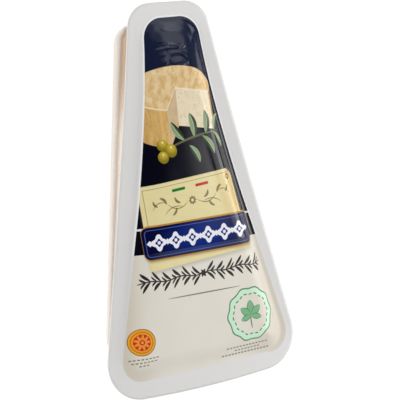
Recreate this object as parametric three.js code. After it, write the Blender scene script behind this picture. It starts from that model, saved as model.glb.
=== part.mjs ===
// A sealed retail pack with a wedge of hard sheep's milk cheese: a clear deep-drawn tray,
// the wedge that fills it, and the printed film that is sealed on its rim.
// Millimetres, +Z up. The pack lies on the tray's floor, and its tip points along +Y.
import * as THREE from 'three';
import { mergeVertices } from 'three/addons/utils/BufferGeometryUtils.js';

// Driving dimensions. An outline is measured from the pack's base edge (along = 0) to its tip.
const packLength = 170;      // base edge to tip, without the base edge's slight bow
const packBow = 1;           // how far the base edge bows outwards at its middle
const rimTop = 32.4;         // height of the rim that the film is sealed on
const rimThickness = 0.8;
const wallThickness = 0.8;   // tray wall and floor
const footRadius = 6.5;      // rounding between the tray's wall and its floor
const filmThickness = 0.4;
const touchGap = 0.3;        // air between pieces that touch
const cheeseGap = 0.9;       // air between the wedge and the tray's wall
const sideSoftness = 21;     // length over which an outline's side line turns

// Each outline is a trapezoid with round corners. Its half width at the base shrinks by
// `taper` for each millimetre towards the tip, and by `tipTaper` past `turn`.
const rimOutline = {
  start: 0, end: packLength, half: 51.3, taper: 0.2035, tipTaper: 0.151, turn: 144,
  baseRadius: 16.5, tipRadius: 11.5, bow: packBow,
};
const printOutline = {
  start: 8.5, end: 162.8, half: 42.6, taper: 0.232, tipTaper: 0, turn: 145,
  baseRadius: 9, tipRadius: 8.8, bow: 0.4,
};
const mouthOutline = {
  start: 7.4, end: 164.6, half: 43.8, taper: 0.1973, tipTaper: 0.1973, turn: 139,
  baseRadius: 12.3, tipRadius: 10.9, bow: 0.6,
};
const footOutline = {
  start: 11.9, end: 163.2, half: 35.4, taper: 0.15, tipTaper: 0.15, turn: 139,
  baseRadius: 11.9, tipRadius: 9.9, bow: 0.4,
};

// The film's relief: how far inside the print's edge, and how high above the film on the rim.
const filmRelief = [
  { inset: -1.2, rise: 0 },
  { inset: 0, rise: 0.3 },
  { inset: 1.5, rise: 1.2 },
  { inset: 3, rise: 2.4 },
  { inset: 5, rise: 3.7 },
  { inset: 7.6, rise: 4.6 },
];
const filmCrown = 5;         // rise of the film along the pack's middle
const crownEnds = [40, 138]; // where the crown's middle line starts and ends
const shoulderInset = 2;     // the wedge's top edge inside the print's edge
const shoulderRise = 1;      // and its height over the film on the rim

// Points along each stretch of half an outline.
const steps = { base: 5, baseCorner: 7, side: 15, tipCorner: 7, tip: 2 };
const arcSteps = 5;          // rings in a rounding seen from the side

const mid = (packLength - packBow) / 2;   // half way between the two ends of the pack

function halfWidth(shape, along) {
  const past = (v) => sideSoftness * Math.log1p(Math.exp((v - shape.turn) / sideSoftness));
  const turned = (shape.taper - shape.tipTaper) * (past(along) - past(shape.start));
  return shape.half - shape.taper * (along - shape.start) + turned;
}

function lean(shape, along) {
  return Math.atan(halfWidth(shape, along - 0.5) - halfWidth(shape, along + 0.5));
}

// One half of an outline, from the middle of the base edge to the middle of the tip.
function halfOutline(shape) {
  const points = [];
  const baseY = shape.start + shape.baseRadius;
  const baseLean = lean(shape, baseY);
  const baseX = halfWidth(shape, baseY) - shape.baseRadius / Math.cos(baseLean);
  const tipY = shape.end - shape.tipRadius;
  const tipLean = lean(shape, tipY);
  const tipX = halfWidth(shape, tipY) - shape.tipRadius / Math.cos(tipLean);
  for (let i = 0; i < steps.base; i += 1) {
    const share = i / steps.base;
    points.push([baseX * share, shape.start - shape.bow * (1 - share * share)]);
  }
  for (let i = 0; i <= steps.baseCorner; i += 1) {
    const turn = THREE.MathUtils.lerp(-Math.PI / 2, baseLean, i / steps.baseCorner);
    points.push([baseX + shape.baseRadius * Math.cos(turn), baseY + shape.baseRadius * Math.sin(turn)]);
  }
  const sideStart = baseY + shape.baseRadius * Math.sin(baseLean);
  const sideEnd = tipY + shape.tipRadius * Math.sin(tipLean);
  for (let i = 1; i < steps.side; i += 1) {
    const along = THREE.MathUtils.lerp(sideStart, sideEnd, i / steps.side);
    points.push([halfWidth(shape, along), along]);
  }
  for (let i = 0; i <= steps.tipCorner; i += 1) {
    const turn = THREE.MathUtils.lerp(tipLean, Math.PI / 2, i / steps.tipCorner);
    points.push([tipX + shape.tipRadius * Math.cos(turn), tipY + shape.tipRadius * Math.sin(turn)]);
  }
  for (let i = 1; i <= steps.tip; i += 1) points.push([tipX * (1 - i / steps.tip), shape.end]);
  return points;
}

// The whole outline, counter-clockwise from above, centred on the pack.
function outline(shape) {
  const right = halfOutline(shape);
  const left = right.slice(1, -1).reverse().map(([x, y]) => [-x, y]);
  return [...right, ...left].map(([x, y]) => new THREE.Vector2(x, y - mid));
}

// The outline moved inwards, square to itself. A negative inset moves it outwards.
function inset(loop, distance) {
  return loop.map((point, i) => {
    const before = loop[(i + loop.length - 1) % loop.length];
    const after = loop[(i + 1) % loop.length];
    const along = after.clone().sub(before).normalize();
    return new THREE.Vector2(point.x - along.y * distance, point.y + along.x * distance);
  });
}

function between(loopA, loopB, share) {
  return loopA.map((point, i) => point.clone().lerp(loopB[i], share));
}

function ring(loop, height) {
  return loop.map((point) => new THREE.Vector3(point.x, point.y, height));
}

// The outline drawn together onto the pack's middle line.
function middleLine(loop, height) {
  const [low, high] = crownEnds.map((along) => along - mid);
  return loop.map((point) => new THREE.Vector3(0, THREE.MathUtils.clamp(point.y, low, high), height));
}

// A closed solid from rings that run over its whole skin, from the underside's middle
// line to the upper side's.
function loft(rings) {
  const count = rings[0].length;
  const corners = rings.flat();
  const position = new THREE.BufferAttribute(new Float32Array(corners.length * 3), 3);
  corners.forEach((corner, i) => position.setXYZ(i, corner.x, corner.y, corner.z));
  const index = [];
  for (let r = 0; r < rings.length - 1; r += 1) {
    for (let i = 0; i < count; i += 1) {
      const next = (i + 1) % count;
      const [a, b] = [r * count + i, r * count + next];
      index.push(a, b, b + count, a, b + count, a + count);
    }
  }
  const loose = new THREE.BufferGeometry().setAttribute('position', position).setIndex(index);
  const merged = mergeVertices(loose, 1e-4);
  const kept = [];
  for (let i = 0; i < merged.index.count; i += 3) {
    const [a, b, c] = [0, 1, 2].map((k) => merged.index.getX(i + k));
    if (a !== b && b !== c && c !== a) kept.push(a, b, c);
  }
  merged.setIndex(kept);
  merged.computeVertexNormals();
  return merged;
}

// Rings of a wall that rises from the floor through a quarter round. `skin` is the
// wall's distance inside the tray's outer face, and `floor` is the floor's height.
function wallRings(skin, floor, radius, top) {
  const foot = outline(footOutline);
  const mouth = outline(mouthOutline);
  const rings = [];
  for (let i = 0; i <= arcSteps; i += 1) {
    const turn = (i / arcSteps) * (Math.PI / 2);
    const height = floor + radius * (1 - Math.cos(turn));
    const wall = between(foot, mouth, height / rimTop);
    rings.push(ring(inset(wall, skin + radius * (1 - Math.sin(turn))), height));
  }
  rings.push(ring(inset(between(foot, mouth, top / rimTop), skin), top));
  return rings;
}

function trayGeometry() {
  const rim = outline(rimOutline);
  const outer = wallRings(0, 0, footRadius, rimTop - rimThickness);
  const inner = wallRings(wallThickness, wallThickness, footRadius - wallThickness, rimTop);
  return loft([
    middleLine(rim, 0),
    ...outer,
    ring(rim, rimTop - rimThickness),
    ring(rim, rimTop),
    ...inner.reverse(),
    middleLine(rim, wallThickness),
  ]);
}

function cheeseGeometry() {
  const print = outline(printOutline);
  const filmFoot = rimTop + touchGap;
  const skin = wallThickness + cheeseGap;
  const floor = wallThickness + touchGap;
  const sides = wallRings(skin, floor, footRadius - cheeseGap, rimTop - 2);
  const under = filmRelief.filter(({ inset: distance }) => distance > shoulderInset);
  return loft([
    middleLine(print, floor),
    ...sides,
    ring(inset(print, shoulderInset), filmFoot + shoulderRise),
    ...under.map((step) => ring(inset(print, step.inset + 0.4), filmFoot + step.rise - 0.6)),
    middleLine(print, filmFoot + filmCrown - 0.6),
  ]);
}

function filmGeometry() {
  const rim = outline(rimOutline);
  const print = outline(printOutline);
  const under = rimTop + touchGap;
  const face = (height) => [
    ring(rim, height),
    ...filmRelief.map((step) => ring(inset(print, step.inset), height + step.rise)),
    middleLine(print, height + filmCrown),
  ];
  return loft([...face(under).reverse(), ...face(under + filmThickness)]);
}

function piece(name, geometry, look) {
  const mesh = new THREE.Mesh(geometry, new THREE.MeshStandardMaterial({ metalness: 0, ...look }));
  mesh.name = name;
  return mesh;
}

const pack = new THREE.Group();
pack.add(piece('tray', trayGeometry(), { color: 0xe8e0d4, roughness: 0.18 }));
pack.add(piece('cheese', cheeseGeometry(), { color: 0xe4d6b4, roughness: 0.62 }));
pack.add(piece('lid_film', filmGeometry(), { color: 0xd6d5d2, roughness: 0.35 }));

export default pack;
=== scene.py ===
import math

import bmesh
import bpy
import numpy as np
from mathutils import Euler, Matrix, Vector


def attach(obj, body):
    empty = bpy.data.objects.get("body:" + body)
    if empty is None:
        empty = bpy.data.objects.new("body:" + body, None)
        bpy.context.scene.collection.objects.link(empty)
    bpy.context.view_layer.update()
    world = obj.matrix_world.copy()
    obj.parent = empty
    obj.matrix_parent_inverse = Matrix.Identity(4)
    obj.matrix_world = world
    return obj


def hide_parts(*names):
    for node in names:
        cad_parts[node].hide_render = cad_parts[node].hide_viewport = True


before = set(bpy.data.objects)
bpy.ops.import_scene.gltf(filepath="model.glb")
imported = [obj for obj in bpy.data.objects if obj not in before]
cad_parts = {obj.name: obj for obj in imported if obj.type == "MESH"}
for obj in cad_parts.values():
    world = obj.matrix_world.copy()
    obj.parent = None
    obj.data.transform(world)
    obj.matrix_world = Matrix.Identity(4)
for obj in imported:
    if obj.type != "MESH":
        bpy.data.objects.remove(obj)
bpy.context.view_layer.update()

mm = 0.001  # metres in a millimetre: the values below are millimetres unless they say otherwise

# the pack's outlines, measured from the base edge (along 0) to the tip, as in the solids
pack = {
    "length": 170, "bow": 1, "softness": 21,
    "rimTop": 32.4, "footRadius": 6.5, "touchGap": 0.3, "film": 0.4, "crownEnds": (40, 138),
    "rim": dict(start=0, end=170, half=51.3, taper=0.2035, tipTaper=0.151, turn=144,
                baseRadius=16.5, tipRadius=11.5, bow=1),
    "print": dict(start=8.5, end=162.8, half=42.6, taper=0.232, tipTaper=0.0, turn=145,
                  baseRadius=9, tipRadius=8.8, bow=0.4),
    "mouth": dict(start=7.4, end=164.6, half=43.8, taper=0.1973, tipTaper=0.1973, turn=139,
                  baseRadius=12.3, tipRadius=10.9, bow=0.6),
    "foot": dict(start=11.9, end=163.2, half=35.4, taper=0.15, tipTaper=0.15, turn=139,
                 baseRadius=11.9, tipRadius=9.9, bow=0.4),
}
mid = (pack["length"] - pack["bow"]) / 2
# points along each stretch of an outline, which crowd together towards the tip
steps = {"base": 14, "corner": 14, "side": 130, "tipCorner": 36, "tip": 8, "crowding": 0.34}
mergeGap = 0.004  # points closer than this become one


# outlines and lofts

def halfWidth(shape, along):
    def past(v):
        return pack["softness"] * math.log1p(math.exp((v - shape["turn"]) / pack["softness"]))
    turned = (shape["taper"] - shape["tipTaper"]) * (past(along) - past(shape["start"]))
    return shape["half"] - shape["taper"] * (along - shape["start"]) + turned


def lean(shape, along):
    return math.atan(halfWidth(shape, along - 0.5) - halfWidth(shape, along + 0.5))


def arcPoints(centreX, centreY, radius, turnFrom, turnTo, count):
    turns = np.linspace(turnFrom, turnTo, count + 1)
    return [(centreX + radius * math.cos(t), centreY + radius * math.sin(t)) for t in turns]


def outline(shape):
    # counter-clockwise from the middle of the base edge, with points closer together at the tip
    baseY = shape["start"] + shape["baseRadius"]
    baseLean = lean(shape, baseY)
    baseX = halfWidth(shape, baseY) - shape["baseRadius"] / math.cos(baseLean)
    tipY = shape["end"] - shape["tipRadius"]
    tipLean = lean(shape, tipY)
    tipX = halfWidth(shape, tipY) - shape["tipRadius"] / math.cos(tipLean)
    right = []
    for share in np.arange(steps["base"]) / steps["base"]:
        right.append((baseX * share, shape["start"] - shape["bow"] * (1 - share * share)))
    right += arcPoints(baseX, baseY, shape["baseRadius"], -math.pi / 2, baseLean, steps["corner"])
    sideStart = baseY + shape["baseRadius"] * math.sin(baseLean)
    sideEnd = tipY + shape["tipRadius"] * math.sin(tipLean)
    for i in range(1, steps["side"]):
        share = (steps["crowding"] ** (i / steps["side"]) - 1) / (steps["crowding"] - 1)
        along = sideStart + (sideEnd - sideStart) * share
        right.append((halfWidth(shape, along), along))
    right += arcPoints(tipX, tipY, shape["tipRadius"], tipLean, math.pi / 2, steps["tipCorner"])
    right += [(tipX * (1 - i / steps["tip"]), shape["end"]) for i in range(1, steps["tip"] + 1)]
    left = [(-x, y) for x, y in reversed(right[1:-1])]
    return np.array(right + left) - np.array([0, mid])


def outward(loop):
    along = np.roll(loop, -1, 0) - np.roll(loop, 1, 0)
    along /= np.linalg.norm(along, axis=1)[:, None]
    return np.stack([along[:, 1], -along[:, 0]], 1)


def inset(loop, distance):
    return loop - distance * outward(loop)


def ring(loop, height):
    return np.column_stack([loop, np.broadcast_to(height, len(loop))])


def middleLoop(loop):
    low, high = (along - mid for along in pack["crownEnds"])
    return np.column_stack([np.zeros(len(loop)), np.clip(loop[:, 1], low, high)])


def between(first, last, share):
    return first + (last - first) * share


def smooth(value):
    value = np.clip(value, 0, 1)
    return value * value * (3 - 2 * value)


def loft(name, rings, layers=None):
    # a closed skin from rings in millimetres; each layer holds a number for each point
    count = len(rings[0])
    order = np.arange(count)
    onward = (order + 1) % count
    faces = []
    for r in range(len(rings) - 1):
        low, high = r * count, (r + 1) * count
        faces += np.stack([low + order, low + onward, high + onward, high + order], 1).tolist()
    mesh = bpy.data.meshes.new(name)
    mesh.from_pydata((np.concatenate(rings) * mm).tolist(), [], faces)
    for label, values in (layers or {}).items():
        layer = mesh.attributes.new(label, "FLOAT", "POINT")
        layer.data.foreach_set("value", np.concatenate(values))
    cleaned = bmesh.new()
    cleaned.from_mesh(mesh)
    bmesh.ops.remove_doubles(cleaned, verts=cleaned.verts, dist=mergeGap * mm)
    bmesh.ops.recalc_face_normals(cleaned, faces=cleaned.faces)
    cleaned.to_mesh(mesh)
    cleaned.free()
    mesh.shade_smooth()
    piece = bpy.data.objects.new(name, mesh)
    bpy.context.collection.objects.link(piece)
    return piece


def wallRings(skin, floor, radius, top, arcs, walls):
    # floor edge, quarter round and wall of the tray's form, from the floor up
    foot, mouth = outline(pack["foot"]), outline(pack["mouth"])
    rings = []
    for turn in np.linspace(0, math.pi / 2, arcs + 1):
        height = floor + radius * (1 - math.cos(turn))
        wall = between(foot, mouth, height / pack["rimTop"])
        rings.append(ring(inset(wall, skin + radius * (1 - math.sin(turn))), height))
    for height in np.linspace(floor + radius, top, walls + 1)[1:]:
        rings.append(ring(inset(between(foot, mouth, height / pack["rimTop"]), skin), height))
    return rings


# helpers for node trees

def tone(red, green, blue):
    # a colour as read on screen, 0 to 255, turned into the shader's own scale
    shares = [c / 255 for c in (red, green, blue)]
    return tuple(s / 12.92 if s <= 0.04045 else ((s + 0.055) / 1.055) ** 2.4 for s in shares) + (1.0,)


def feed(socket, value):
    if isinstance(value, bpy.types.NodeSocket):
        socket.id_data.links.new(value, socket)
    elif value is not None:
        socket.default_value = value


def feedAll(sockets, values):
    for label, value in values.items():
        feed(sockets[label], value)


def addNode(tree, kind, values=None, **settings):
    node = tree.nodes.new(kind)
    for key, value in settings.items():
        setattr(node, key, value)
    feedAll(node.inputs, values or {})
    return node


def joinNode(kind, values, **settings):
    # a node that takes the values in order, in the tree that the first socket among them belongs to
    tree = next(value.id_data for value in values if isinstance(value, bpy.types.NodeSocket))
    return addNode(tree, kind, dict(enumerate(values)), **settings)


def calc(operation, *values, clamp=False):
    return joinNode("ShaderNodeMath", values, operation=operation, use_clamp=clamp).outputs[0]


def plus(first, second):
    return calc("ADD", first, second)


def minus(first, second):
    return calc("SUBTRACT", first, second)


def times(first, second):
    return calc("MULTIPLY", first, second)


def ratio(first, second):
    return calc("DIVIDE", first, second)


def absolute(value):
    return calc("ABSOLUTE", value)


def hypotenuse(x, y):
    return calc("SQRT", calc("MULTIPLY_ADD", x, x, times(y, y)))


def vectorCalc(operation, *values):
    return joinNode("ShaderNodeVectorMath", values, operation=operation).outputs["Vector"]


def ramp(value, start, end, low=0.0, high=1.0):
    # goes smoothly from low at start to high at end; the spans below hold these two or four numbers
    values = (value, start, end, low, high)
    return joinNode("ShaderNodeMapRange", values, interpolation_type="SMOOTHSTEP").outputs[0]


def blend(share, under, over):
    # of a Mix node's sockets, the first takes the share, and the seventh and eighth the colours
    node = joinNode("ShaderNodeMix", (share, *[None] * 5, under, over), data_type="RGBA")
    return node.outputs[2]


def parts(vector):
    return addNode(vector.id_data, "ShaderNodeSeparateXYZ", {"Vector": vector}).outputs


def newGroup(name, inputs, outputs):
    # inputs are names with their values, a vector or a plain number; what comes out is plain numbers
    tree = bpy.data.node_groups.new(name, "ShaderNodeTree")
    for label, value in inputs.items():
        kind = "NodeSocketVector" if isinstance(value, tuple) else "NodeSocketFloat"
        tree.interface.new_socket(label, in_out="INPUT", socket_type=kind).default_value = value
    for label in outputs:
        tree.interface.new_socket(label, in_out="OUTPUT", socket_type="NodeSocketFloat")
    given = tree.nodes.new("NodeGroupInput").outputs
    return tree, given, tree.nodes.new("NodeGroupOutput").inputs


def useGroup(group, **values):
    tree = values["Point"].id_data
    return addNode(tree, "ShaderNodeGroup", values, node_tree=group).outputs


def newMaterial(name):
    # the material, the inputs of its shader, and the place on the piece in millimetres
    material = bpy.data.materials.new(name)
    material.use_nodes = True
    tree = material.node_tree
    place = addNode(tree, "ShaderNodeTexCoord").outputs["Object"]
    return material, tree.nodes["Principled BSDF"].inputs, vectorCalc("SCALE", place, None, None, 1 / mm)


# effects that several materials share

def buildMottle():
    # soft cloudy variation from 0 to 1, stretched along the axes by Stretch
    tree, given, out = newGroup("mottle", {
        "Point": (0, 0, 0), "Stretch": (1, 1, 1), "Size": 4.0, "Low": 0.35, "High": 0.65, "Detail": 3.0,
    }, ["Value"])
    drawn = vectorCalc("DIVIDE", given["Point"], given["Stretch"])
    look = {"Vector": drawn, "Scale": ratio(1.0, given["Size"]), "Detail": given["Detail"]}
    cloud = addNode(tree, "ShaderNodeTexNoise", look).outputs["Fac"]
    feed(out["Value"], ramp(cloud, given["Low"], given["High"]))
    return tree


def buildHandling():
    # the faint dulling that hands and stacking leave on glossy plastic
    inputs = {"Point": (0, 0, 0), "Clean": 0.12, "Dull": 0.2}
    tree, given, out = newGroup("handling marks", inputs, ["Roughness"])
    smear = useGroup(mottle, Point=given["Point"], Stretch=(1, 1.8, 1), Size=14.0, Low=0.4)
    fine = useGroup(mottle, Point=given["Point"], Stretch=(1, 3, 1), Size=1.6, Low=0.55, High=0.75)
    share = calc("MULTIPLY_ADD", fine["Value"], 0.35, smear["Value"])
    spread = minus(given["Dull"], given["Clean"])
    feed(out["Roughness"], calc("MULTIPLY_ADD", share, spread, given["Clean"]))
    return tree


mottle = buildMottle()
handling = buildHandling()


# the film's relief

film = {
    "foot": 1.2,          # the relief starts this far outside its outline
    "reach": 5.2, "fullness": 1.9, "crown": 4.7,
    "dome": 0.12,         # rise of the middle line over the shelf
    "gentle": dict(share=0.4, start=-48.0, end=-76.0),   # the relief rises more slowly towards the base
    "tight": dict(share=0.15, start=58.0, end=70.0),     # and faster towards the tip
    "sink": dict(depth=1.5, start=44.0, end=72.0),       # the film falls away there too
    # over the tip the relief's inner part turns its corners in a wide round
    "corner": dict(softness=3.0, inset=1.5, fade=5.0, start=20.0, end=45.0),
    "shelf": 7.6,         # rings follow the print's edge down to this inset
    "thickness": 0.36,
    # the rings of each face, the inset that the rim's edge counts as, and how far past the shelf's the
    # insets count on to the middle line
    "upper": dict(ringGap=0.45, innerRings=62), "under": dict(ringGap=0.9, innerRings=24),
    "rimRings": 6, "rimInset": -9, "middleRun": 12,
    "basin": dict(centre=(0, 71.5), radii=(12.5, 5.6), reach=1.15, depth=0.06),
    "detailFade": 6,      # folds and basin reach their full height this far inside the relief's foot
    "slack": {"Wave height": 0.09, "Wave size": 26.0, "Seed": 4.0}, "slackSpan": (-1.0, 5.0),
    # the print sits a little off the relief: moved, turned in degrees, this much wider all round, and
    # wider still to both sides for each millimetre towards the base
    "shift": (1.3, 0.0), "turn": 0.41, "wider": 0.58, "flare": 0.025,
    # creases as bent lines: three points, height and half width
    "creaseSteps": 25,
    "creases": [
        ((-15.4, 59), (-13.8, 64.5), (-12, 66.6), 0.42, 0.9),
        ((-14.0, 64.6), (-7.5, 68.4), (2.5, 65.4), 0.9, 1.0),
        ((1.4, 65.6), (3, 65.0), (5.2, 66.2), 0.32, 0.7),
        ((-13, 60), (-11, 64.4), (-4, 64.4), -0.45, 0.8),
        ((-8.2, 58.4), (-6.4, 60.2), (-4.6, 58.8), 0.32, 1.7),
        ((-2.0, 57.6), (1.2, 60.6), (3.4, 57.2), 0.38, 1.7),
        ((-5.0, 62.4), (-12.4, 64.0), (-9.6, 57.6), 0.4, 0.8),
        ((-3.4, 62.6), (5.2, 64.6), (4.8, 57.4), 0.34, 0.8),
        ((12, 64.5), (12.7, 64), (13.2, 63.4), 0.2, 0.35),
        ((12.8, 62.6), (13.5, 62), (14, 61.2), 0.2, 0.35),
        ((13.2, 60.7), (13.9, 60.2), (14.3, 59.6), 0.2, 0.35),
    ],
}


def spanShare(value, span):
    # how far the value has come from the span's start to its end
    return (value - span["start"]) / (span["end"] - span["start"])


def roundedDistance(distance, loop):
    # the distance inside the print's edge, with the relief's inner corners rounded towards the tip
    shape, corner = pack["print"], film["corner"]
    along = loop[:, 1] + mid
    side = np.array([halfWidth(shape, value) for value in along]) - abs(loop[:, 0])
    joined = np.exp(-side / corner["softness"]) + np.exp((along - shape["end"]) / corner["softness"])
    joined = -corner["softness"] * np.log(joined)
    share = smooth((distance - corner["inset"]) / corner["fade"]) * smooth(spanShare(loop[:, 1], corner))
    return distance + (joined - distance) * share


def filmRise(distance, loop):
    distance = roundedDistance(distance, loop)
    gentle, tight = [look["share"] * smooth(spanShare(loop[:, 1], look))
                     for look in (film["gentle"], film["tight"])]
    run = np.maximum(distance + film["foot"], 0) * (1 - gentle + tight)
    return film["crown"] * (1 - np.exp(-(run / film["reach"]) ** film["fullness"]))


def creaseHeight(x, y):
    total = np.zeros_like(x)
    for first, middle, last, height, half in film["creases"]:
        nearest = np.full_like(x, math.inf)
        along = np.zeros_like(x)
        for share in np.linspace(0, 1, film["creaseSteps"]):
            px, py = [(1 - share) ** 2 * a + 2 * share * (1 - share) * b + share ** 2 * c
                      for a, b, c in zip(first, middle, last)]
            apart = np.hypot(x - px, y - py)
            along = np.where(apart < nearest, share, along)
            nearest = np.minimum(nearest, apart)
        fade = np.clip(4 * along * (1 - along), 0, 1) ** 0.5  # thins out towards both ends
        total += height * fade * np.exp(-(nearest / half) ** 2)
    return total


def addDetail(points, distance):
    # the creases, the basin over the wedge's tip and the fall towards it
    x, y = points[:, 0], points[:, 1]
    basin, sink = film["basin"], film["sink"]
    away = np.hypot(*[(value - centre) / radius
                      for value, centre, radius in zip((x, y), basin["centre"], basin["radii"])])
    low = sink["depth"] * np.maximum(spanShare(y, sink), 0) ** 2
    detail = creaseHeight(x, y) - basin["depth"] * (1 - smooth(away / basin["reach"])) - low
    points[:, 2] += detail * smooth((distance + film["foot"]) / film["detailFade"])


def innerRing(shelf, middle, share, height):
    # a ring between the relief's shelf and the middle line
    loop = between(shelf, middle, share)
    distance = film["shelf"] + np.hypot(*(loop - shelf).T)
    rise = filmRise(distance, loop) + film["dome"] * (1 - (1 - share) ** 2)
    return ring(loop, height + rise)


def filmFace(height, ringGap, innerRings):
    # rings of one face of the film from the rim's edge to its middle line, with their insets
    rim, printed = outline(pack["rim"]), outline(pack["print"])
    foot = inset(printed, -film["foot"])
    rings, insets = [], []
    for share in np.linspace(0, 1, film["rimRings"] + 1)[:-1]:
        rings.append(ring(between(rim, foot, share), height))
        insets.append(between(film["rimInset"], -film["foot"], share))
    count = round((film["shelf"] + film["foot"]) / ringGap)
    for distance in np.linspace(-film["foot"], film["shelf"], count + 1):
        loop = inset(printed, distance)
        rings.append(ring(loop, height + filmRise(distance, loop)))
        insets.append(distance)
    shelf, middle = inset(printed, film["shelf"]), middleLoop(printed)
    for share in np.linspace(0, 1, innerRings + 1)[1:]:
        rings.append(innerRing(shelf, middle, share, height))
        insets.append(film["shelf"] + film["middleRun"] * share)
    for points, distance in zip(rings, insets):
        addDetail(points, distance)
    return rings, [np.full(len(rim), distance) for distance in insets]


def geometryTree(name, *labels):
    # the labels name its sizes; the geometry comes first, and the material that it ends with last
    tree = bpy.data.node_groups.new(name, "GeometryNodeTree")
    kinds = {"Geometry": "NodeSocketGeometry", "Finish": "NodeSocketMaterial"}
    for label in ("Geometry", *labels, "Finish"):
        tree.interface.new_socket(label, in_out="INPUT", socket_type=kinds.get(label, "NodeSocketFloat"))
    tree.interface.new_socket("Geometry", in_out="OUTPUT", socket_type=kinds["Geometry"])
    return tree, tree.nodes.new("NodeGroupInput").outputs, tree.nodes.new("NodeGroupOutput").inputs


def endTree(tree, given, out, offset):
    # moves the points by the offset and gives the result its material
    moved = addNode(tree, "GeometryNodeSetPosition", {"Geometry": given["Geometry"], "Offset": offset})
    joined = addNode(tree, "GeometryNodeRealizeInstances", {"Geometry": moved.outputs[0]})
    ending = {"Geometry": joined.outputs[0], "Material": given["Finish"]}
    feed(out["Geometry"], addNode(tree, "GeometryNodeSetMaterial", ending).outputs[0])
    return tree


def bakeTree(piece, tree, values):
    # runs a geometry tree on the piece once and keeps the plain mesh
    modifier = piece.modifiers.new(tree.name, "NODES")
    modifier.node_group = tree
    sockets = {item.name: item.identifier for item in tree.interface.items_tree if item.in_out == "INPUT"}
    for label, value in values.items():
        modifier[sockets[label]] = value
    seen = bpy.context.evaluated_depsgraph_get()
    mesh = bpy.data.meshes.new_from_object(piece.evaluated_get(seen), preserve_all_data_layers=True,
                                           depsgraph=seen)
    piece.modifiers.remove(modifier)
    piece.data = mesh


def geometryNoise(point, size, detail, seed):
    look = {"Vector": point, "W": seed, "Scale": ratio(1 / mm, size), "Detail": detail}
    cloud = addNode(point.id_data, "ShaderNodeTexNoise", look, noise_dimensions="4D").outputs["Fac"]
    return minus(cloud, 0.5)


def slackTree():
    # lets the film stand a little slack: soft waves that fade out towards the sealed rim
    tree, given, out = geometryTree("film slack", "Wave height", "Wave size", "Seed")
    position = addNode(tree, "GeometryNodeInputPosition").outputs[0]
    flat = vectorCalc("MULTIPLY", position, (1, 1, 0))
    wave = geometryNoise(flat, given["Wave size"], 1.0, given["Seed"])
    stored = {"Name": "inside"}
    inside = addNode(tree, "GeometryNodeInputNamedAttribute", stored, data_type="FLOAT").outputs[0]
    free = ramp(inside, *film["slackSpan"])
    height = times(times(wave, given["Wave height"]), free)
    # doubled, because the noise runs from -0.5 to 0.5
    offset = addNode(tree, "ShaderNodeCombineXYZ", {"Z": times(height, 2 * mm)}).outputs[0]
    return endTree(tree, given, out, offset)


# The shapes that the print is drawn with, in millimetres on the film. Their sockets are plain numbers:
# a vector socket makes the renderer hold every shape at once, which is more than it can.

# how soft the edges of the inks are, and the least half width of a leaf
press = {"plateSoft": 0.08, "discSoft": 0.07, "leafSoft": 0.06, "leastHalf": 0.05}


def shapeGroup(name, inputs, outputs):
    return newGroup(name, dict.fromkeys(inputs, 0.0), outputs)


def turnedPlace(given):
    # the point as seen from the shape's own centre and turn
    x, y = minus(given["X"], given["Centre X"]), minus(given["Y"], given["Centre Y"])
    cosine, sine = calc("COSINE", given["Turn"]), calc("SINE", given["Turn"])
    across = calc("MULTIPLY_ADD", y, sine, times(x, cosine))
    return across, minus(times(y, cosine), times(x, sine))


def buildPlate():
    # a rectangle with round corners
    tree, given, out = shapeGroup("plate shape", (
        "X", "Y", "Centre X", "Centre Y", "Half X", "Half Y", "Corner", "Turn", "Soft"),
        ("Mask", "Depth", "Place X", "Place Y"))
    x, y = turnedPlace(given)
    overX, overY = [minus(absolute(value), minus(given[half], given["Corner"]))
                    for value, half in ((x, "Half X"), (y, "Half Y"))]
    outer = hypotenuse(calc("MAXIMUM", overX, 0.0), calc("MAXIMUM", overY, 0.0))
    inner = calc("MINIMUM", calc("MAXIMUM", overX, overY), 0.0)
    depth = minus(given["Corner"], plus(outer, inner))
    mask = ramp(depth, times(given["Soft"], -1.0), given["Soft"])
    feedAll(out, {"Mask": mask, "Depth": depth, "Place X": x, "Place Y": y})
    return tree


def buildDisc():
    # an oval whose edge may be scalloped
    tree, given, out = shapeGroup("disc shape", (
        "X", "Y", "Centre X", "Centre Y", "Radius X", "Radius Y", "Turn", "Scallops", "Swing"),
        ("Mask", "Share", "Angle", "Place X", "Place Y"))
    x, y = turnedPlace(given)
    x, y = ratio(x, given["Radius X"]), ratio(y, given["Radius Y"])
    angle = calc("ARCTAN2", y, x)
    wave = calc("COSINE", times(angle, given["Scallops"]))
    share = ratio(hypotenuse(x, y), calc("MULTIPLY_ADD", wave, given["Swing"], 1.0))
    soft = ratio(press["discSoft"], given["Radius X"])
    mask = ramp(share, plus(1.0, soft), minus(1.0, soft))
    feedAll(out, {"Mask": mask, "Share": share, "Angle": angle, "Place X": x, "Place Y": y})
    return tree


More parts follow.
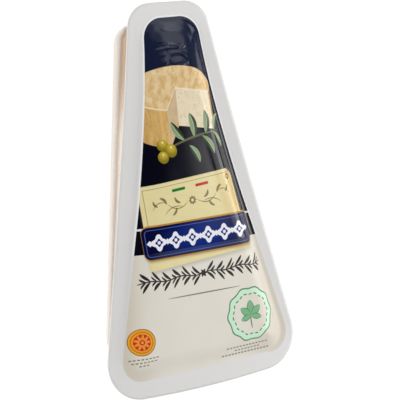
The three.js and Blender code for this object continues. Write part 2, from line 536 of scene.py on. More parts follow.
def buildLeaf():
    # a bent blade from one point to another; with a low Taper it is a line with soft ends
    tree, given, out = shapeGroup("leaf shape", (
        "X", "Y", "From X", "From Y", "To X", "To Y", "Half width", "Bend", "Taper"), ("Mask", "Across"))
    axisX, axisY = [minus(given["To " + n], given["From " + n]) for n in "XY"]
    length = hypotenuse(axisX, axisY)
    axisX, axisY = ratio(axisX, length), ratio(axisY, length)
    awayX, awayY = [minus(given[n], given["From " + n]) for n in "XY"]
    along = ratio(calc("MULTIPLY_ADD", awayX, axisX, times(awayY, axisY)), length)
    side = minus(times(awayY, axisX), times(awayX, axisY))
    arch = calc("MAXIMUM", times(times(along, minus(1.0, along)), 4.0), 0.0)
    bent = minus(side, times(arch, given["Bend"]))
    half = times(calc("POWER", arch, given["Taper"]), given["Half width"])
    over = minus(absolute(bent), half)
    mask = times(ramp(over, press["leafSoft"], -press["leafSoft"]), calc("GREATER_THAN", arch, 0.0))
    across = ratio(bent, calc("MAXIMUM", half, press["leastHalf"]))
    feedAll(out, {"Mask": mask, "Across": across})
    return tree


def buildRepeat():
    # brings each stretch of a row back to the same place, so that one shape drawn there repeats
    tree, given, out = shapeGroup("repeat along x", ("X", "Start", "Period", "Count"), ("X", "Mask"))
    cells = ratio(minus(given["X"], given["Start"]), given["Period"])
    part = minus(calc("FRACT", cells), 0.5)
    mask = times(calc("GREATER_THAN", cells, 0.0), calc("LESS_THAN", cells, given["Count"]))
    feedAll(out, {"X": times(part, given["Period"]), "Mask": mask})
    return tree


plateShape, discShape, leafShape, repeatAlong = buildPlate(), buildDisc(), buildLeaf(), buildRepeat()


# A sheet being printed is a dictionary: the place on it (x and y), the colour laid down so far and the
# clouds that its inks are mottled with. Each paint function lays its colours over what is there.

def lay(sheet, shape, colour, share=1.0, row=None):
    # prints a colour where a shape is, or where a mask says
    mask = shape if isinstance(shape, bpy.types.NodeSocket) else shape["Mask"]
    if share != 1.0:
        mask = times(mask, share)
    if row:
        mask = times(mask, row["Mask"])
    sheet["colour"] = blend(mask, sheet["colour"], colour)


def drawShape(group, *values):
    return joinNode("ShaderNodeGroup", values, node_tree=group).outputs


def plateOn(sheet, centre, half, corner=0.4, turn=0.0, soft=press["plateSoft"], place=None):
    place = place or sheet["place"]
    return drawShape(plateShape, *place, *centre, *half, corner, math.radians(turn), soft)


def discOn(sheet, centre, radii, turn=0.0, scallops=0.0, swing=0.0, place=None):
    place = place or sheet["place"]
    return drawShape(discShape, *place, *centre, *radii, math.radians(turn), scallops, swing)


def bladeOn(sheet, start, end, half=0.3, bend=0.0, taper=0.25, place=None):
    return drawShape(leafShape, *(place or sheet["place"]), *start, *end, half, bend, taper)


def lineAt(value, centre, span):
    # a line where the value is near the centre, from its soft edge to full strength
    return ramp(absolute(minus(value, centre)), *span)


# The print: fields of colour and generic ornament.

ink = {
    # the navy lightens to slate towards the tip: partly the print's own tone, partly painted reflection of
    # the film's broad sheen there
    "navy": tone(3, 3, 20), "slateAndSheen": tone(20, 28, 54), "slateAndSheenSpan": (22.0, 62.0), "navyFoot": -21.8,
    "gap": tone(225, 225, 228), "gapY": -11.1, "gapSpan": (0.53, 0.37),
    # the clear lower part, with painted shade at both sides where its film turns down
    "window": tone(231, 226, 213), "windowCloudAndShade": tone(214, 206, 190), "windowCloud": 0.15,
    "leftShadeInset": (8.0, 1.0), "leftSpan": (-20.0, -36.0), "rightSpan": (18.0, 38.0, 0.0, 0.9),
    # the unprinted rim, with a light line where the print starts
    "rim": tone(228, 227, 225), "rimEdge": 0.04, "rimFade": 0.7,
    "rimLine": tone(248, 247, 246), "rimLineAt": -0.3, "rimLineSpan": (0.4, 0.2),
    # roughness: glossy where the print is dark, more on the unprinted parts and near the tip
    "clean": 0.12, "dull": 0.17, "satin": 0.3, "tipSpan": (46.0, 56.0, 0.0, 0.045), "index": 1.47,
    "clouds": {
        "cloud": dict(Stretch=(1, 1.4, 1), Size=18.0, Low=0.3, High=0.7),
        "streaks": dict(Stretch=(0.5, 2.4, 1), Size=2.6, Low=0.3, High=0.7),
        "grain": dict(Stretch=(1, 1.6, 1), Size=2.4, Low=0.28, High=0.78),
        "holes": dict(Stretch=(0.8, 1.6, 1), Size=0.9, Low=0.66, High=0.74, Detail=1.0),
        "fibre": dict(Stretch=(3, 1, 1), Size=1.6, Low=0.3, High=0.75),
    },
}


drum = {
    "centre": (-3, 48), "radii": (19.5, 9.6), "height": 16.5, "notch": (-105, -20), "soft": 0.1,
    "top": (tone(236, 212, 166), tone(214, 172, 106)),
    "lip": tone(246, 234, 204), "lipSpan": (0.55, 0.1, 0.0, 0.8),
    # the rind round the side is streaked, and lightest where it faces the light
    "rind": (tone(176, 134, 78), tone(226, 186, 116)), "streakShare": 0.45,
    "lightAt": -0.25, "lightSpan": (0.9, 0.1, 0.0, 0.6),
    "cut": (tone(240, 226, 196), tone(205, 176, 132)), "leftShade": 0.7, "cutGrain": 0.3,
    "hole": tone(128, 96, 48), "holeShare": 0.6,
}


def paintDrum(sheet):
    # a round cheese seen at a slant, with a wedge cut out of it
    wide, deep = drum["radii"]
    soft = drum["soft"]
    notchX = [wide * math.cos(math.radians(a)) for a in drum["notch"]]
    notchY = [deep * math.sin(math.radians(a)) for a in drum["notch"]]
    dx, dy = [minus(value, centre) for value, centre in zip(sheet["place"], drum["centre"])]
    share = ratio(dx, wide)
    under = calc("SUBTRACT", 1.0, times(share, share), clamp=True)
    arc = times(calc("SQRT", under), deep)
    notch = times(calc("GREATER_THAN", dx, notchX[0]), calc("LESS_THAN", dx, notchX[1]))
    cuts = [times(dx, y / x) for x, y in zip(notchX, notchY)]
    cutLine = times(calc("MINIMUM", *cuts), notch)
    front = times(arc, minus(1.0, notch))
    overLip = minus(dy, minus(cutLine, front))
    glow = lineAt(share, drum["lightAt"], drum["lightSpan"])
    side = blend(calc("MULTIPLY_ADD", sheet["streaks"], drum["streakShare"], glow), *drum["rind"])
    # the two cut faces
    left = times(calc("LESS_THAN", dx, 0.0), drum["leftShade"])
    pale = calc("MULTIPLY_ADD", sheet["grain"], drum["cutGrain"], left, clamp=True)
    side = blend(notch, side, blend(pale, *drum["cut"]))
    body = blend(ramp(overLip, -soft, soft), side, blend(sheet["grain"], *drum["top"]))
    # small holes in the paste, and the light lip where the planes meet
    body = blend(times(sheet["holes"], drum["holeShare"]), body, drum["hole"])
    body = blend(ramp(absolute(overLip), *drum["lipSpan"]), body, drum["lip"])
    inWidth = calc("LESS_THAN", absolute(share), 1.0)
    overFoot = ramp(overLip, -drum["height"] - soft, -drum["height"] + soft)
    underTop = ramp(minus(dy, arc), soft, -soft)
    lay(sheet, times(times(inWidth, overFoot), underTop), body)


sprig = {
    # the stem's start, end, half width, bend and taper
    "stem": ((-13, 20.5), (17.5, 27.5), 0.5, 1.6, 0.3), "bark": tone(96, 100, 66),
    "blade": (tone(40, 62, 34), tone(150, 172, 128)), "bladeSpan": (-0.7, 0.8), "taper": 0.75,
    "rib": tone(196, 208, 168), "ribSpan": (0.16, 0.02),
    # start, end, half width and bend
    "leaves": [((-1, 25), (-7, 33.5), 1.7, 0.6), ((1, 22.5), (5.5, 14.5), 1.6, 0.7),
               ((4, 26), (2.5, 36.5), 1.8, -0.7), ((8, 26), (13.5, 17.5), 1.7, 0.8),
               ((10, 27), (10.5, 37), 1.8, -0.8), ((14, 27.4), (18.8, 20), 1.5, 0.6),
               ((15, 27.6), (19, 35), 1.6, 0.6)],
    "berries": [((-12, 23.8), 2.5), ((-8.2, 21.2), 2.7), ((-12.2, 18.6), 2.4)],
    "long": 1.12, "turn": 30, "berry": (tone(203, 176, 62), tone(136, 122, 24)), "berrySpan": (0.2, 1.25),
    "glint": tone(246, 238, 190), "glintAt": (0.3, 0.4), "glintSpan": (0.24, 0.05),
}


def paintSprig(sheet):
    lay(sheet, bladeOn(sheet, *sprig["stem"]), sprig["bark"])
    for leaf in sprig["leaves"]:
        shape = bladeOn(sheet, *leaf, sprig["taper"])
        body = blend(ramp(shape["Across"], *sprig["bladeSpan"]), *sprig["blade"])
        vein = ramp(absolute(shape["Across"]), *sprig["ribSpan"])
        lay(sheet, shape, blend(vein, body, sprig["rib"]))
    for centre, radius in sprig["berries"]:
        shape = discOn(sheet, centre, (radius, radius * sprig["long"]), sprig["turn"])
        lit = hypotenuse(*[minus(shape["Place " + n], at) for n, at in zip("XY", sprig["glintAt"])])
        body = blend(ramp(lit, *sprig["berrySpan"]), *sprig["berry"])
        lay(sheet, shape, blend(ramp(lit, *sprig["glintSpan"]), body, sprig["glint"]))


panel = {
    "centre": (0.1, -9.6), "half": (24.5, 18.4), "corner": 0.9, "turn": 4.1,
    "taper": 0.0033,      # how much narrower it gets for each millimetre up
    "shadow": tone(150, 142, 128), "shadowAt": (0.6, -1.0), "shadowShare": 0.5,
    "shadowForm": (1.0, 4.1, 1.6),    # corner, turn and softness
    "clip": 3.0, "clipSoft": 0.1,     # the cut off corner
    "paper": tone(236, 223, 168), "shade": tone(221, 208, 152), "gold": tone(216, 182, 108),
    "line": tone(112, 92, 48), "green": tone(16, 124, 48), "red": tone(196, 44, 40),
    # where the paper darkens: at its left, in its fibres, at its right and along its edge
    "leftSpan": (-16.0, -24.5, 0.0, 0.2), "fibreShare": 0.25, "rightSpan": (12.0, 24.5, 0.0, 0.75),
    "edgeSpan": (1.1, 0.0, 0.0, 0.35),
    # the line inside its upper edge
    "lineInset": 1.7, "lineSpan": (0.2, 0.1), "lineFoot": 0.5, "lineShare": 0.6,
    # half of the scrollwork: start, end, half width and bend
    "scrolls": [((2.2, 8.2), (13, 9.2), 0.22, -2.6), ((13, 9.2), (20, 7.4), 0.2, 1.9),
                ((5.5, 6.6), (14.5, 4.6), 0.2, 1.5), ((13.2, 9.0), (16.2, 12.2), 0.6, 0.6),
                ((8.4, 6.6), (10.8, 3.6), 0.55, -0.5), ((17.6, 8.6), (19.4, 11.4), 0.5, -0.5),
                ((6.2, 8.3), (8.8, 11.2), 0.6, -0.6)],
    "scrollTaper": 0.5, "scrollShare": 0.85,
    "rose": ((0, 8.2), (1.7, 1.7), 0, 8, 0.16),   # centre, radii, turn, petals and their swing
    # round spots: place, radius and colour
    "spots": [((0, 8.2), 0.7, "paper"), ((21.0, 14.8), 1.3, "line"), ((21.0, 14.8), 0.7, "gold")],
    "bars": [((-6.2, 14.2), "green"), ((6.2, 14.2), "red")], "barHalf": (3.4, 0.62), "barCorner": 0.1,
}


def paintPanel(sheet):
    across, up = [minus(value, centre) for value, centre in zip(sheet["place"], panel["centre"])]
    across = ratio(across, minus(1.0, times(up, panel["taper"])))
    shadow = plateOn(sheet, panel["shadowAt"], panel["half"], *panel["shadowForm"], (across, up))
    lay(sheet, shadow, panel["shadow"], panel["shadowShare"])
    shape = plateOn(sheet, (0, 0), panel["half"], panel["corner"], panel["turn"], place=(across, up))
    place = (shape["Place X"], shape["Place Y"])
    x, y = place
    corner = minus(sum(panel["half"]) - panel["clip"], plus(x, y))
    whole = times(shape["Mask"], ramp(corner, -panel["clipSoft"], panel["clipSoft"]))
    paper = blend(ramp(x, *panel["leftSpan"]), panel["paper"], panel["shade"])
    paper = blend(times(sheet["fibre"], panel["fibreShare"]), paper, panel["shade"])
    paper = blend(ramp(x, *panel["rightSpan"]), paper, panel["gold"])
    paper = blend(ramp(shape["Depth"], *panel["edgeSpan"]), paper, panel["shade"])
    lay(sheet, whole, paper)
    line = lineAt(shape["Depth"], panel["lineInset"], panel["lineSpan"])
    lay(sheet, times(line, calc("GREATER_THAN", y, panel["lineFoot"])), panel["line"], panel["lineShare"])
    for side in (-1, 1):
        for start, end, half, bend in panel["scrolls"]:
            ends = (side * start[0], start[1]), (side * end[0], end[1])
            scroll = bladeOn(sheet, *ends, half, side * bend, panel["scrollTaper"], place)
            lay(sheet, scroll, panel["line"], panel["scrollShare"])
    lay(sheet, discOn(sheet, *panel["rose"], place), panel["line"], panel["scrollShare"])
    for centre, radius, colour in panel["spots"]:
        lay(sheet, discOn(sheet, centre, (radius, radius), place=place), panel[colour])
    for centre, colour in panel["bars"]:
        bar = plateOn(sheet, centre, panel["barHalf"], panel["barCorner"], place=place)
        lay(sheet, bar, panel[colour])


band = {
    "centre": (1.5, -17.5), "half": (27.4, 7.0), "corner": 2.8,
    # how far the shadow lies off and spreads, and how far the gold edge shows at the sides and above
    "shadow": tone(40, 36, 34), "shadowAt": (0.3, -0.9), "spread": 0.3, "soft": 0.9, "shadowShare": 0.4,
    "gold": tone(190, 140, 58), "goldEdge": (0.1, 0.75), "goldCorner": 3.3,
    "blue": tone(4, 38, 126), "deep": tone(2, 5, 54),
    # the blue is lighter in its middle and darker towards its ends: painted shade of the film's bulge over
    # the band
    "glow": (21.0, 9.0), "bulgeShadeSpan": (1.25, 0.2), "edgeSpan": (0.9, 0.2),
    "line": tone(96, 128, 214), "lineInset": 1.25, "lineSpan": (0.24, 0.1), "lineShare": 0.45,
    "count": 6, "period": 8.2, "white": tone(240, 240, 246),
    "gem": ((0, 0), (0.95, 0.95), 0.1, 45),     # place in its cell, half sides, corner and turn
    # each flower, from the outside in: colour, radius, petals and their swing
    "flower": [("white", 3.1, 4, 0.2), ("blue", 1.488, 4, 0.2), ("white", 0.744, 0, 0)],
}


def paintBand(sheet):
    (x, y), (wide, deep) = band["centre"], band["half"]
    corner, spread = band["corner"], band["spread"]
    asideX, asideY = band["shadowAt"]
    shadow = plateOn(sheet, (x + asideX, y + asideY), (wide + spread, deep + spread), corner,
                     soft=band["soft"])
    lay(sheet, shadow, band["shadow"], band["shadowShare"])
    edge = [half + more for half, more in zip(band["half"], band["goldEdge"])]
    lay(sheet, plateOn(sheet, (x, y), edge, band["goldCorner"]), band["gold"])
    shape = plateOn(sheet, (x, y), band["half"], corner)
    place = (shape["Place X"], shape["Place Y"])
    away = hypotenuse(*[ratio(value, reach) for value, reach in zip(place, band["glow"])])
    # painted shade of the film's bulge: lighter blue in the middle, deep blue towards the ends
    blue = blend(ramp(away, *band["bulgeShadeSpan"]), band["deep"], band["blue"])
    lay(sheet, shape, blend(ramp(shape["Depth"], *band["edgeSpan"]), blue, band["deep"]))
    lay(sheet, lineAt(shape["Depth"], band["lineInset"], band["lineSpan"]), band["line"], band["lineShare"])

    def rowOf(count):
        start = -count * band["period"] / 2
        return drawShape(repeatAlong, place[0], start, band["period"], count)

    row = rowOf(band["count"])
    for colour, radius, petals, swing in band["flower"]:
        flower = discOn(sheet, (0, 0), (radius, radius), 0, petals, swing, (row["X"], place[1]))
        lay(sheet, flower, band[colour], row=row)
    row = rowOf(band["count"] + 1)
    gem = plateOn(sheet, *band["gem"], place=(row["X"], place[1]))
    lay(sheet, gem, band["white"], row=row)


garland = {
    "middle": (1, -34), "reach": 31.5, "half": 0.3, "taper": 0.12, "ink": tone(34, 30, 28),
    "wave": 0.5, "turns": 0.42, "row": (1.4, 4.9, 6),   # where the leaves start, their period and count
    # start, end and half width
    "leaves": [((-2.2, 0.2), (1.6, 4.3), 0.62), ((-0.2, 0.2), (2.2, 2.2), 0.42)],
    "bend": 0.3, "leafTaper": 0.7, "knot": ((1.5, 1.5), 0, 6, 0.25),   # radii, turn, lobes and their swing
    # the rule below: start, end, half width, bend and taper
    "rule": ((-18, -42.4), (19, -43.0), 0.28, 0, 0.5), "ruleInk": tone(96, 92, 84), "ruleShare": 0.9,
}


def paintGarland(sheet):
    # a long stem with leaves that point outwards from its middle, and a thin rule below
    x, y = [minus(value, middle) for value, middle in zip(sheet["place"], garland["middle"])]
    wave = times(calc("SINE", times(x, garland["turns"])), garland["wave"])
    x, y = absolute(x), minus(y, wave)
    row = drawShape(repeatAlong, x, *garland["row"])
    for side in (-1, 1):
        for start, end, half in garland["leaves"]:
            ends = (start[0], side * start[1]), (end[0], side * end[1])
            leaf = bladeOn(sheet, *ends, half, -side * garland["bend"], garland["leafTaper"], (row["X"], y))
            lay(sheet, leaf, garland["ink"], row=row)
    stem = bladeOn(sheet, (0, 0), (garland["reach"], 0), garland["half"], 0, garland["taper"], (x, y))
    for shape in (stem, discOn(sheet, garland["middle"], *garland["knot"])):
        lay(sheet, shape, garland["ink"])
    lay(sheet, bladeOn(sheet, *garland["rule"]), garland["ruleInk"], garland["ruleShare"])


seal = {
    "centre": (-32, -59), "radius": 5.9, "rim": tone(150, 84, 22), "outer": tone(240, 168, 40),
    "inner": tone(206, 126, 10), "red": tone(206, 42, 20), "bloom": tone(240, 150, 60),
    # colour, share of the radius, scallops and their swing, from the outside in
    "rings": [("rim", 1.0, 0, 0), ("outer", 0.94, 0, 0), ("inner", 0.82, 0, 0), ("outer", 0.72, 0, 0),
              ("red", 0.62, 18, 0.035), ("bloom", 0.46, 9, 0.3), ("red", 0.2, 0, 0), ("outer", 0.1, 0, 0)],
}


def paintSeal(sheet):
    for colour, share, scallops, swing in seal["rings"]:
        layer = discOn(sheet, seal["centre"], (seal["radius"] * share,) * 2, 0, scallops, swing)
        lay(sheet, layer, seal[colour])


badge = {
    "centre": (23, -56.5), "radius": 12.2, "scallops": 10, "swing": 0.03,
    "fill": tone(204, 238, 208), "line": tone(74, 128, 88), "leaf": tone(120, 182, 132),
    "shares": (1.0, 0.95, 0.74),    # of the radius: the line, the fill and the clear heart
    # the hoop of dashes: its share of the heart's radius, its edges, and how many and how long they are
    "hoop": 1.02, "hoopSpan": (0.04, 0.024), "dashes": 22.0, "dashCut": -0.25,
    "stem": (-6.5, 1.0, 0.3, 0.3),  # its ends below and above the centre, half width and bend
    "leafFoot": -0.8, "leafTaper": 0.8, "outline": 0.38,
    # each leaf's turn, length and half width
    "leaves": [(0, 7.2, 1.9), (52, 6.6, 1.7), (-52, 6.6, 1.7), (104, 5.6, 1.4), (-104, 5.6, 1.4)],
}


def paintBadge(sheet):
    (x, y), back = badge["centre"], sheet["colour"]
    for share, colour in zip(badge["shares"], (badge["line"], badge["fill"], back)):
        shape = discOn(sheet, (x, y), (badge["radius"] * share,) * 2, 0, badge["scallops"], badge["swing"])
        lay(sheet, shape, colour)
    dash = calc("GREATER_THAN", calc("SINE", times(shape["Angle"], badge["dashes"])), badge["dashCut"])
    hoop = lineAt(shape["Share"], badge["hoop"], badge["hoopSpan"])
    lay(sheet, times(hoop, dash), badge["line"])
    low, high, half, bend = badge["stem"]
    stem = bladeOn(sheet, (x, y + low), (x, y + high), half, bend)
    lay(sheet, stem, badge["line"])
    foot = (x, y + badge["leafFoot"])
    for turned, length, half in badge["leaves"]:
        angle = math.radians(turned)
        tip = (foot[0] + length * math.sin(angle), foot[1] + length * math.cos(angle))
        for colour, width in (("line", half), ("leaf", half - badge["outline"])):
            lay(sheet, bladeOn(sheet, foot, tip, width, 0, badge["leafTaper"]), badge[colour])


notes = {
    "ink": tone(70, 66, 62), "share": 0.75, "period": 1.7, "dash": 0.58, "corner": 0.2,
    # each row's start, number of dashes, height on the pack and half height
    "rows": [(-38.6, 8, -66.4, 0.3), (-37.6, 7, -67.9, 0.3), (-34.4, 3, -69.4, 0.3),
             (9.5, 13, -70.6, 0.32), (14.0, 8, -72.2, 0.3), (7.5, 15, -73.8, 0.36)],
}


def paintNotes(sheet):
    # rows of small dashes
    x, y = sheet["place"]
    for start, count, height, half in notes["rows"]:
        row = drawShape(repeatAlong, x, start, notes["period"], count)
        dash = plateOn(sheet, (0, height), (notes["dash"], half), notes["corner"], place=(row["X"], y))
        lay(sheet, dash, notes["ink"], notes["share"], row)


def buildPlace():
    # the place on the film as two plain numbers
    tree, given, out = newGroup("place on film", {"Point": (0, 0, 0)}, ["X", "Y"])
    x, y, _ = parts(given["Point"])
    feedAll(out, {"X": x, "Y": y})
    return tree


def filmMaterial():
    material, shader, point = newMaterial("printed film")
    level = vectorCalc("MULTIPLY", point, (1, 1, 0))
    sheet = {name: useGroup(mottle, Point=level, **look)["Value"] for name, look in ink["clouds"].items()}
    place = useGroup(buildPlace(), Point=level)
    x, y = place["X"], place["Y"]
    sheet["place"] = (x, y)
    tree = material.node_tree
    inside, printed = [addNode(tree, "ShaderNodeAttribute", attribute_name=name).outputs["Fac"]
                       for name in ("inside", "printed")]
    ground = blend(times(sheet["cloud"], ink["windowCloud"]), ink["window"], ink["windowCloudAndShade"])
    # painted shade at the window's left and right sides, where its film turns down; the cloud above is the
    # window's own faint mottle
    left = times(ramp(inside, *ink["leftShadeInset"]), ramp(x, *ink["leftSpan"]))
    ground = blend(left, ground, ink["windowCloudAndShade"])
    sheet["colour"] = blend(ramp(x, *ink["rightSpan"]), ground, ink["windowCloudAndShade"])
    navy = calc("GREATER_THAN", y, ink["navyFoot"])
    # navy down to the window, lightening towards the tip: partly print, partly painted reflection
    lay(sheet, navy, blend(ramp(y, *ink["slateAndSheenSpan"]), ink["navy"], ink["slateAndSheen"]))
    lay(sheet, lineAt(y, ink["gapY"], ink["gapSpan"]), ink["gap"])
    for paint in (paintDrum, paintSprig, paintPanel, paintBand,
                  paintGarland, paintSeal, paintBadge, paintNotes):
        paint(sheet)
    outside = ramp(printed, ink["rimEdge"], -ink["rimEdge"])
    lower = minus(1.0, navy)
    faded = times(lower, ramp(printed, ink["rimFade"], -ink["rimFade"]))
    lay(sheet, calc("MAXIMUM", outside, faded), ink["rim"])
    lay(sheet, times(lineAt(printed, ink["rimLineAt"], ink["rimLineSpan"]), navy), ink["rimLine"])
    glossy = useGroup(handling, Point=level, Clean=ink["clean"], Dull=ink["dull"])["Roughness"]
    satin = calc("MULTIPLY_ADD", calc("MAXIMUM", outside, lower), ink["satin"], glossy)
    satin = plus(satin, ramp(y, *ink["tipSpan"]))
    feedAll(shader, {"Base Color": sheet["colour"], "Roughness": satin, "IOR": ink["index"]})
    return material


def makeFilm():
    height = pack["rimTop"] + pack["touchGap"] + pack["film"]
    top, topInside = filmFace(height, **film["upper"])
    under, underInside = filmFace(height - film["thickness"], **film["under"])
    inside = underInside[::-1] + topInside
    loop = outline(pack["print"])
    turned = math.radians(film["turn"]) * np.column_stack([-loop[:, 1], loop[:, 0]])
    flare = film["flare"] * np.maximum(-loop[:, 1], 0) * abs(outward(loop)[:, 0])
    offset = film["wider"] + flare + np.sum(outward(loop) * (turned + film["shift"]), 1)
    layers = {"inside": inside, "printed": [distance + offset for distance in inside]}
    piece = loft("printed_film", under[::-1] + top, layers)
    bakeTree(piece, slackTree(), {**film["slack"], "Finish": filmMaterial()})
    print("film:", len(piece.data.polygons), "faces")
    return piece


# the tray

tray = {
    "rimTop": 32.7, "rimThickness": 0.55, "wall": 0.5,
    "drop": 0.6,          # the walls end this far below the rim, and round over into it
    "neck": (0.25, 0.9), "edge": 0.12, "round": 0.15,
    "outerSteps": dict(arcs=14, walls=9), "innerSteps": dict(arcs=12, walls=9),
    # clear, with painted sheen low down where the sheet curves round the foot, paler and less clear there;
    # and hazed where it is doubled by the rim
    "plastic": tone(250, 244, 236), "footSheen": tone(241, 232, 221), "footSheenSpan": (14.0, 7.5),
    "cover": 0.1, "footSheenCover": 0.6, "rimSpan": (31.4, 32.0, 0.0, 0.45),
    "clean": 0.16, "dull": 0.2, "index": 1.5,
}


def trayMaterial():
    material, shader, point = newMaterial("clear tray plastic")
    height = parts(point)[2]
    # painted sheen: paler and less clear low down, where light catches the sheet's curve round the foot
    footSheen = ramp(height, *tray["footSheenSpan"])
    colour = blend(footSheen, tray["plastic"], tray["footSheen"])
    marks = useGroup(handling, Point=point, Clean=tray["clean"], Dull=tray["dull"])
    cover = calc("MULTIPLY_ADD", footSheen, tray["footSheenCover"], tray["cover"])
    cover = plus(cover, ramp(height, *tray["rimSpan"]))
    feedAll(shader, {"Base Color": colour, "Roughness": marks["Roughness"], "Alpha": cover,
                     "IOR": tray["index"]})
    return material


def makeTray():
    rim = outline(pack["rim"])
    top, wall, low, edge = tray["rimTop"], tray["wall"], tray["round"], tray["edge"]
    under = top - tray["rimThickness"]
    near, wide = tray["neck"]
    outer = wallRings(0, 0, pack["footRadius"], under - tray["drop"], **tray["outerSteps"])
    inner = wallRings(wall, wall, pack["footRadius"] - wall, top - tray["drop"], **tray["innerSteps"])
    mouthOut, mouthIn = outer[-1][:, :2], inner[-1][:, :2]
    neck = [ring(inset(mouthOut, -near), under - low), ring(inset(mouthOut, -wide), under)]
    lip = [ring(inset(rim, edge), under), ring(rim, under + low), ring(rim, top - low),
           ring(inset(rim, edge), top)]
    shoulder = [ring(inset(mouthIn, -wide), top), ring(inset(mouthIn, -near), top - low)]
    floorLines = [ring(middleLoop(rim), z) for z in (0, wall)]
    piece = loft("clear_tray", [floorLines[0], *outer, *neck, *lip, *shoulder, *inner[::-1], floorLines[1]])
    piece.data.materials.append(trayMaterial())
    print("tray:", len(piece.data.polygons), "faces")
    return piece


# the wedge of cheese

cheese = {
    "skin": 1.4, "floor": 0.9, "clearance": 1.1, "footSlack": 0.5, "drop": 2,
    # rings follow the print's edge at these insets, then come together over the top
    "insets": (1.8, 2.5, 3.4, 5.0), "topRings": 29, "floorRings": 13, "wallSteps": dict(arcs=10, walls=16),
    "grain": {"Lump height": 0.04, "Lump size": 6.0, "Crumb height": 0.015, "Crumb size": 1.4, "Seed": 9.0},
    "paste": tone(238, 227, 215), "deep": tone(231, 216, 198), "cloudShare": 0.6, "crumbShare": 0.2,
    "cloud": dict(Stretch=(1, 1.3, 1), Size=9.0, Low=0.3, High=0.72),
    "crumbs": dict(Size=1.3, Low=0.52, High=0.72),
    # the tan flank, the cheese's own tone deepened by painted shade under the rim: where it starts and is
    # whole, upwards and towards the tip, with a trace before that
    "flankToneAndShade": tone(178, 138, 82), "flankShadeUp": (6.5, 11.0), "flankShadeAlong": (24.0, 60.0, 0.057, 0.95),
    "rind": tone(176, 132, 84), "rindSpan": (-69.5, -72.5),
    "roughness": (0.48, 0.66), "glow": 0.12, "glowColour": (1.0, 0.7, 0.35), "glowDepth": 3,
}


def grainTree():
    # the dry, slightly crumbly surface that a hard cheese has where it is cut
    tree, given, out = geometryTree("cheese grain", *cheese["grain"])
    position = addNode(tree, "GeometryNodeInputPosition").outputs[0]
    normal = addNode(tree, "GeometryNodeInputNormal").outputs[0]
    lumps, crumbs = [times(geometryNoise(position, given[kind + " size"], detail, given["Seed"]),
                           given[kind + " height"]) for kind, detail in (("Lump", 2.0), ("Crumb", 1.0))]
    rise = times(plus(lumps, crumbs), mm)
    return endTree(tree, given, out, vectorCalc("SCALE", normal, None, None, rise))


def cheeseMaterial():
    material, shader, point = newMaterial("hard cheese")
    cloud = useGroup(mottle, Point=point, **cheese["cloud"])["Value"]
    colour = blend(times(cloud, cheese["cloudShare"]), cheese["paste"], cheese["deep"])
    crumbs = useGroup(mottle, Point=point, **cheese["crumbs"])["Value"]
    colour = blend(times(crumbs, cheese["crumbShare"]), colour, cheese["deep"])
    _, along, height = parts(point)
    # the cheese's own tan side, deepened by painted shade higher up under the rim and towards the tip
    flankToneAndShade = times(ramp(height, *cheese["flankShadeUp"]), ramp(along, *cheese["flankShadeAlong"]))
    colour = blend(flankToneAndShade, colour, cheese["flankToneAndShade"])
    colour = blend(ramp(along, *cheese["rindSpan"]), colour, cheese["rind"])
    feedAll(shader, {
        "Base Color": colour, "Roughness": ramp(crumbs, 0.0, 1.0, *cheese["roughness"]),
        "Subsurface Weight": cheese["glow"], "Subsurface Radius": cheese["glowColour"],
        "Subsurface Scale": cheese["glowDepth"] * mm})
    return material


def makeCheese():
    printed = outline(pack["print"])
    middle, shelf = middleLoop(printed), inset(printed, film["shelf"])
    footRadius = pack["footRadius"] - cheese["skin"] + cheese["footSlack"]
    sides = wallRings(cheese["skin"], cheese["floor"], footRadius, pack["rimTop"] - cheese["drop"],
                      **cheese["wallSteps"])
    floorEdge = sides[0][:, :2]
    bottom = [ring(between(middle, floorEdge, share), cheese["floor"])
              for share in np.linspace(0, 1, cheese["floorRings"] + 1)[:-1]]
    height = pack["rimTop"] + pack["touchGap"] - cheese["clearance"]
    top = []
    for distance in (*cheese["insets"], film["shelf"]):
        loop = inset(printed, distance)
        top.append(ring(loop, height + filmRise(distance, loop)))
        addDetail(top[-1], distance)
    for share in np.linspace(0, 1, cheese["topRings"] + 1)[1:]:
        top.append(innerRing(shelf, middle, share, height))
        addDetail(top[-1], film["shelf"])
    piece = loft("cheese_wedge", bottom + sides + top)
    bakeTree(piece, grainTree(), {**cheese["grain"], "Finish": cheeseMaterial()})
    print("cheese:", len(piece.data.polygons), "faces")
    return piece


# floor, lights and camera

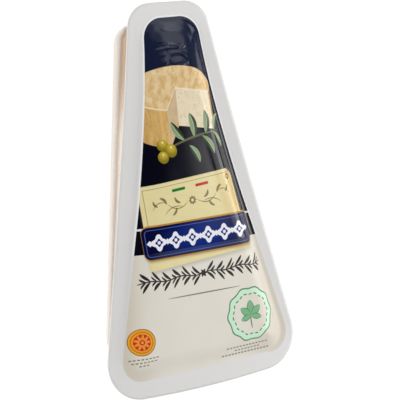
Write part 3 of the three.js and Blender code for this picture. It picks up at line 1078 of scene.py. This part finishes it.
stage = {
    "floorHalf": 3000, "floorFinish": {
        "Base Color": (0.22, 0.22, 0.22, 1), "Roughness": 0.9, "Specular IOR Level": 0.0,
        "Emission Color": (1, 1, 1, 1), "Emission Strength": 0.9},
    "sky": (0.05, 0.05, 0.055, 1), "backdrop": (1, 1, 1, 1),
    # centre, aimed at (or straight down), width and height, radiance, and if glossy faces show it
    "lights": {
        "right softbox": dict(at=(850, -420, 640), size=(700, 960), glow=2.0),
        "tip glow": dict(at=(365, 430, 640), size=(450, 520), glow=1.3),
        "tip left": dict(at=(0, 430, 640), size=(280, 520), glow=0.3),
        "tip far": dict(at=(570, 900, 640), size=(400, 360), glow=2.4),
        "overhead": dict(at=(-100, 0, 1100), aim=(0, 0, 20), size=(1200, 1200), glow=0.34, shine=False),
        "side strip": dict(at=(378, -30, 640), size=(60, 110), glow=2.5),
        "left": dict(at=(-900, -100, 160), aim=(0, 0, 20), size=(1300, 300), glow=5.0, shine=False),
        "front": dict(at=(250, -950, 850), aim=(0, 0, 20), size=(1300, 700), glow=1.1),
        "high back": dict(at=(0, 900, 800), aim=(0, 0, 20), size=(1200, 500), glow=2.2, shine=False),
        "back": dict(at=(1000, 840, 320), aim=(0, 0, 20), size=(1100, 380), glow=2.0),
        "right": dict(at=(800, -265, 360), aim=(0, -100, 20), size=(760, 350), glow=4.1),
    },
    # place, turn in degrees, and the camera's own settings, with its near and far limits in metres
    "camera": dict(at=(-250.5, 44.4, 494.66), turn=(-1.5057, -29.6133, -7.2058), lens=107.525, sensor=36,
                   shift=(-0.01026, -0.0021), clip=(0.01, 20)),
}


def makeFloor():
    mesh = bpy.data.meshes.new("floor")
    shape = bmesh.new()
    bmesh.ops.create_grid(shape, x_segments=8, y_segments=8, size=stage["floorHalf"] * mm)
    shape.to_mesh(mesh)
    shape.free()
    floor = bpy.data.objects.new("floor", mesh)
    bpy.context.collection.objects.link(floor)
    material, shader, _ = newMaterial("white floor")
    feedAll(shader, stage["floorFinish"])
    mesh.materials.append(material)


def makeLights():
    for name, light in stage["lights"].items():
        data = bpy.data.lights.new(name, "AREA")
        data.shape = "RECTANGLE"
        data.size, data.size_y = (side * mm for side in light["size"])
        data.energy = light["glow"] * math.pi * data.size * data.size_y
        lamp = bpy.data.objects.new(name, data)
        place = Vector(light["at"]) * mm
        aim = Vector(light.get("aim", (*light["at"][:2], 0))) * mm
        facing = (aim - place).to_track_quat("-Z", "Y").to_matrix().to_4x4()
        lamp.matrix_world = Matrix.Translation(place) @ facing
        lamp.visible_glossy = light.get("shine", True)
        bpy.context.collection.objects.link(lamp)
    world = bpy.data.worlds.new("studio")
    bpy.context.scene.world = world
    world.use_nodes = True
    tree = world.node_tree
    seen = addNode(tree, "ShaderNodeLightPath").outputs["Is Camera Ray"]
    feed(tree.nodes["Background"].inputs["Color"], blend(seen, stage["sky"], stage["backdrop"]))


def makeCamera():
    values = stage["camera"]
    data = bpy.data.cameras.new("camera")
    data.lens, data.sensor_width = values["lens"], values["sensor"]
    data.shift_x, data.shift_y = values["shift"]
    data.clip_start, data.clip_end = values["clip"]
    camera = bpy.data.objects.new("camera", data)
    camera.location = Vector(values["at"]) * mm
    camera.rotation_euler = Euler([math.radians(a) for a in values["turn"]], "XYZ")
    bpy.context.collection.objects.link(camera)
    bpy.context.scene.camera = camera


makeCamera()
makeFloor()
makeLights()
bpy.context.scene.view_settings.view_transform = "Standard"
print("stage ready")

dressed = {
    "tray": (makeTray(), "tray_plastic"),
    "cheese": (makeCheese(), "cheese"),
    "lid_film": (makeFilm(), "printed_film"),
}
for node, (piece, slot) in dressed.items():
    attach(piece, "root")
    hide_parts(node)
